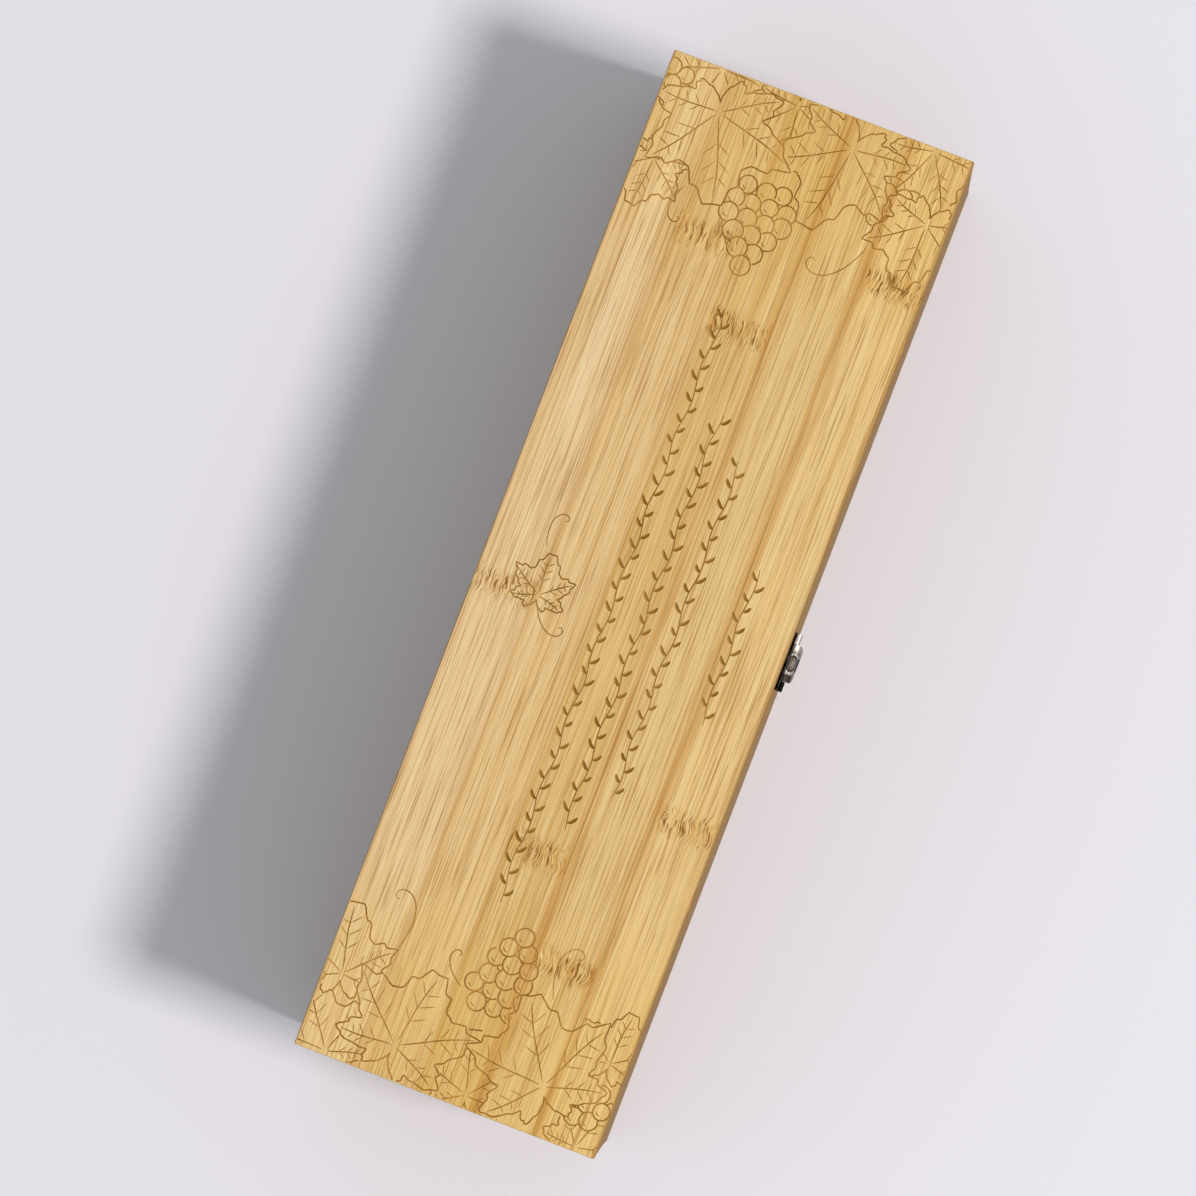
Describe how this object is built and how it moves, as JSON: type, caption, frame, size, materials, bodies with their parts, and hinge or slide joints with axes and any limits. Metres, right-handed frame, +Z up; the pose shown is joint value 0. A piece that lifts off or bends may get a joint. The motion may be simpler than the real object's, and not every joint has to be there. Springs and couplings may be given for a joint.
{
  "type": "wine box",
  "caption": "Long laminated bamboo box for one wine bottle, with a hinged shallow lid, a hooked metal latch at the front and two notched rests inside.",
  "frame": {"origin": "centre of the underside of the bottom panel", "axes": "+X along the box to its right end seen from the front, -Y out of the front with the latch, +Z up through the lid"},
  "size_m": [0.355, 0.1128, 0.1],
  "materials": {
    "lid_board": "satin, sanded laminated bamboo",
    "box_board": "satin, sanded laminated bamboo",
    "rest_board": "matte, sawn laminated bamboo",
    "hardware": "satin, antique nickel plating",
    "latch_tongue": "satin, antique nickel plating, rubbed bright at the edges",
    "fasteners": "satin, darkened steel"
  },
  "bodies": {
    "base": {"bottom_panel": "box_board", "base_front_wall": "box_board", "base_back_wall": "box_board", "base_left_end": "box_board", "base_right_end": "box_board", "body_rest": "rest_board", "neck_rest": "rest_board", "left_hinge_lower_leaf": "hardware", "right_hinge_lower_leaf": "hardware", "left_hinge_pin": "fasteners", "right_hinge_pin": "fasteners", "left_hinge_lower_screw_1": "fasteners", "left_hinge_lower_screw_2": "fasteners", "right_hinge_lower_screw_1": "fasteners", "right_hinge_lower_screw_2": "fasteners", "catch_plate": "hardware", "catch_screw_1": "fasteners", "catch_screw_2": "fasteners"},
    "lid": {"lid_top_panel": "lid_board", "lid_front_rail": "box_board", "lid_back_rail": "box_board", "lid_left_rail": "box_board", "lid_right_rail": "box_board", "left_hinge_upper_leaf": "hardware", "right_hinge_upper_leaf": "hardware", "left_hinge_upper_screw_1": "fasteners", "left_hinge_upper_screw_2": "fasteners", "right_hinge_upper_screw_1": "fasteners", "right_hinge_upper_screw_2": "fasteners", "latch_plate": "hardware", "latch_pin": "fasteners", "latch_screw_1": "fasteners", "latch_screw_2": "fasteners"},
    "latch": {"latch_tongue": "latch_tongue"}
  },
  "joints": [
    {"name": "lid_hinge", "type": "hinge", "parent": "base", "child": "lid", "pos_m": [0, 0.0537, 0.078], "axis": [-1, 0, 0], "range_deg": [0, 180]},
    {"name": "latch_swing", "type": "hinge", "parent": "lid", "child": "latch", "pos_m": [0, -0.0548, 0.0804], "axis": [-1, 0, 0], "range_deg": [0, 100]}
  ]
}
